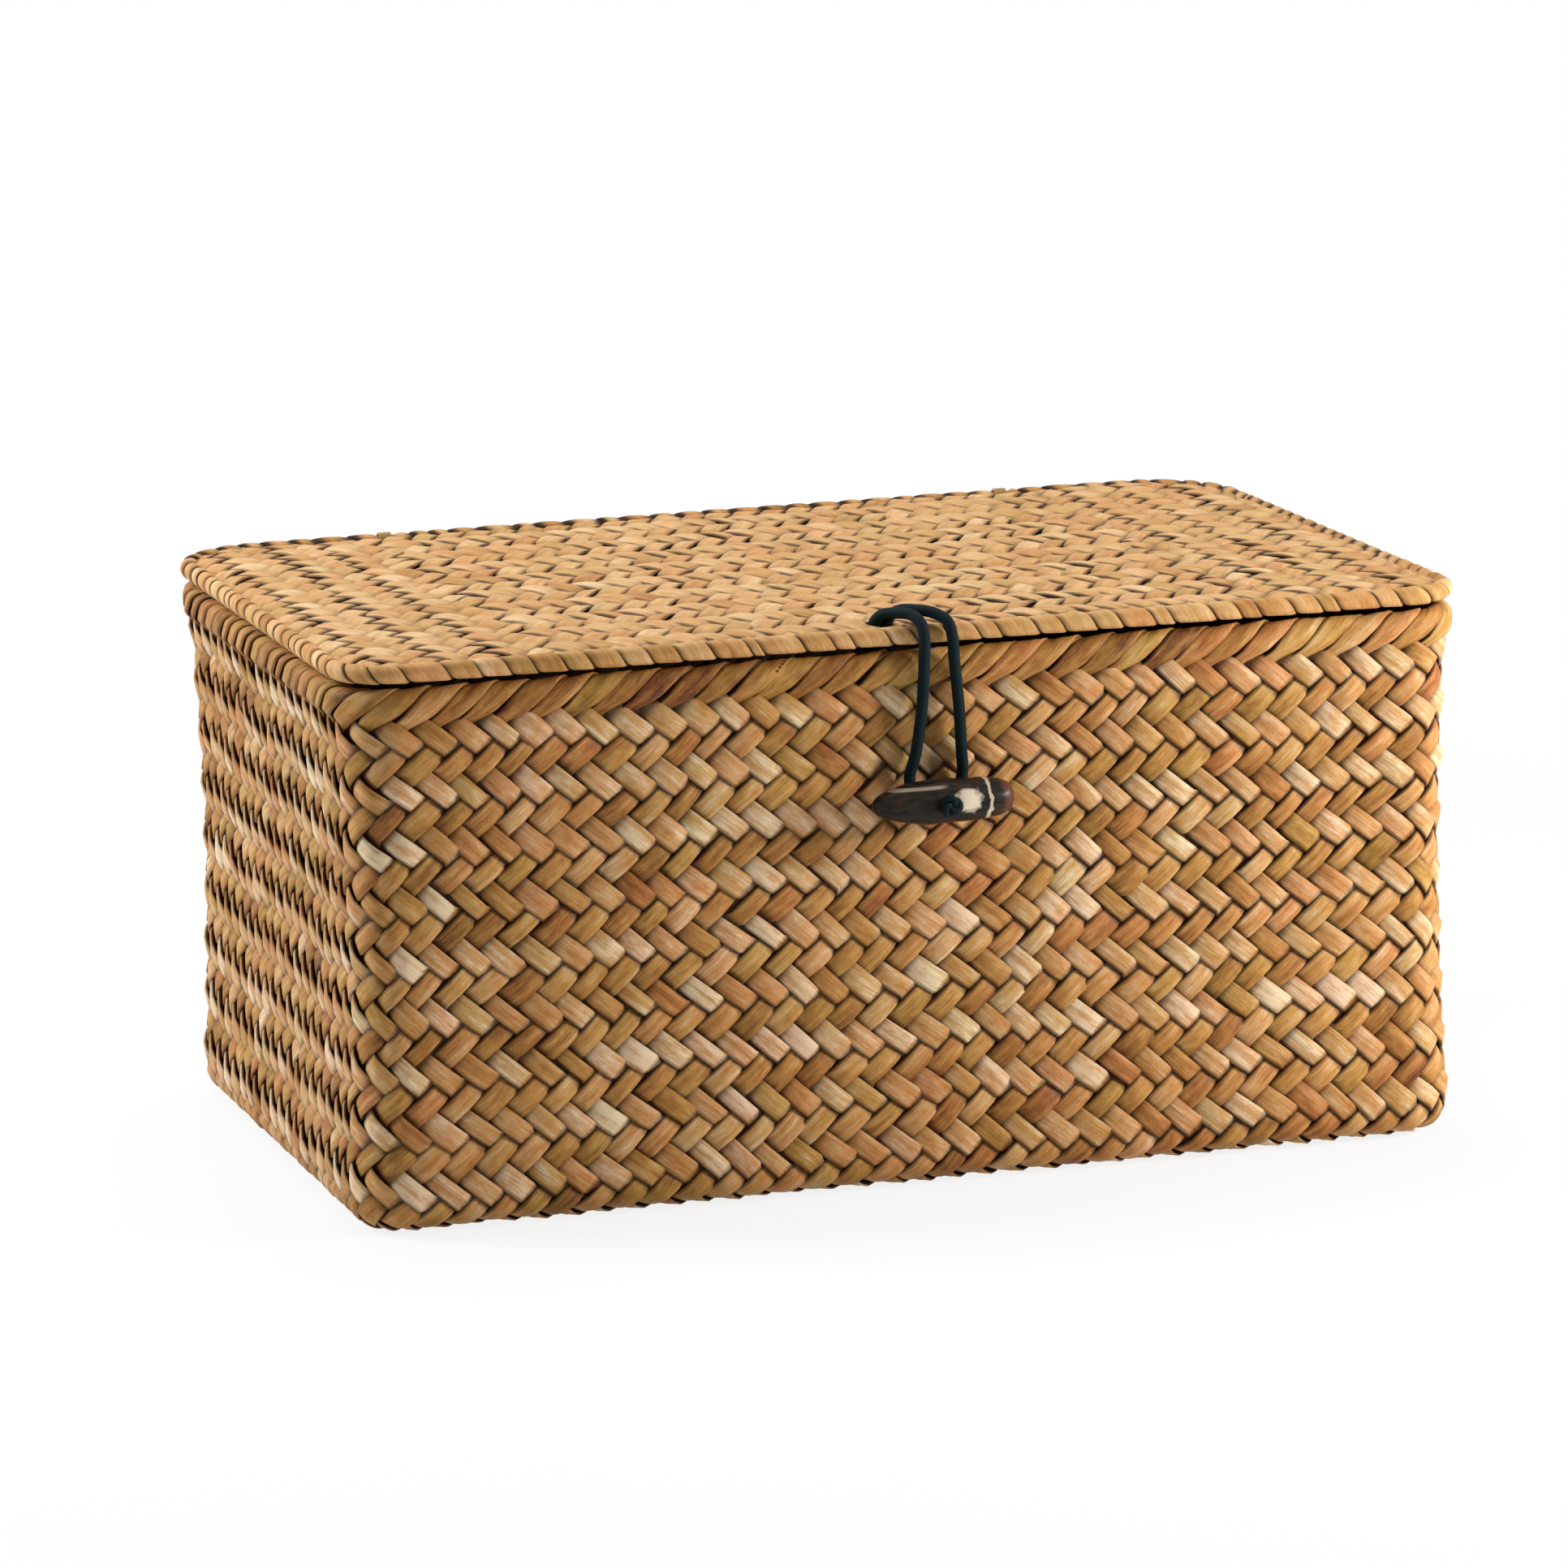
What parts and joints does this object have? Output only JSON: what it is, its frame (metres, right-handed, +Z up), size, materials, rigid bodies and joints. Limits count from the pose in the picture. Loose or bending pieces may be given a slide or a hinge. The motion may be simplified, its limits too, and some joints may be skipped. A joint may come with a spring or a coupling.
{
  "type": "woven lidded box",
  "caption": "Rectangular storage box plaited from sedge strips, with a lid on cord ties at the rear, held shut by a cord loop over a toggle bar.",
  "frame": {"origin": "middle of the underside of the base", "axes": "+X along the length, to the right seen from the front; -Y out of the front; +Z up"},
  "size_m": [0.29, 0.2061, 0.1463],
  "materials": {
    "wall_plait": "dried sedge strips, golden to reddish brown, soft sheen",
    "lid_plait": "dried sedge strips, pale straw, soft sheen",
    "cane": "bare cane rod",
    "dark_cord": "braided cord, dark teal black, matt",
    "twine": "twisted straw twine, golden brown",
    "horn": "polished dark horn with paler streaks"
  },
  "bodies": {
    "box": {"base_mat": "wall_plait", "front_wall": "wall_plait", "rear_wall": "wall_plait", "left_wall": "wall_plait", "right_wall": "wall_plait", "rim_binding": "wall_plait", "rim_hoop": "cane", "toggle_cord": "dark_cord", "hinge_tie_left": "twine", "hinge_tie_right": "twine"},
    "lid": {"lid_mat": "lid_plait", "lid_border": "lid_plait", "lid_hoop": "cane", "loop_knot": "dark_cord"},
    "loop": {"closure_loop": "dark_cord"},
    "toggle": {"toggle_bar": "horn"}
  },
  "joints": [
    {"name": "lid_hinge", "type": "hinge", "parent": "box", "child": "lid", "pos_m": [0, 0.0924, 0.1389], "axis": [-1, 0, 0], "range_deg": [0, 110], "deforming": ["closure_loop"]},
    {"name": "loop_swing", "type": "hinge", "parent": "lid", "child": "loop", "pos_m": [0, -0.0924, 0.1389], "axis": [1, 0, 0], "range_deg": [0, 85]},
    {"name": "toggle_turn", "type": "hinge", "parent": "box", "child": "toggle", "pos_m": [0.0035, -0.1014, 0.099], "axis": [0, -1, 0], "range_deg": [-90, 90]}
  ],
  "couplings": [
    {"joint": "loop_swing", "follows": "lid_hinge", "ratio": 0.7727}
  ]
}
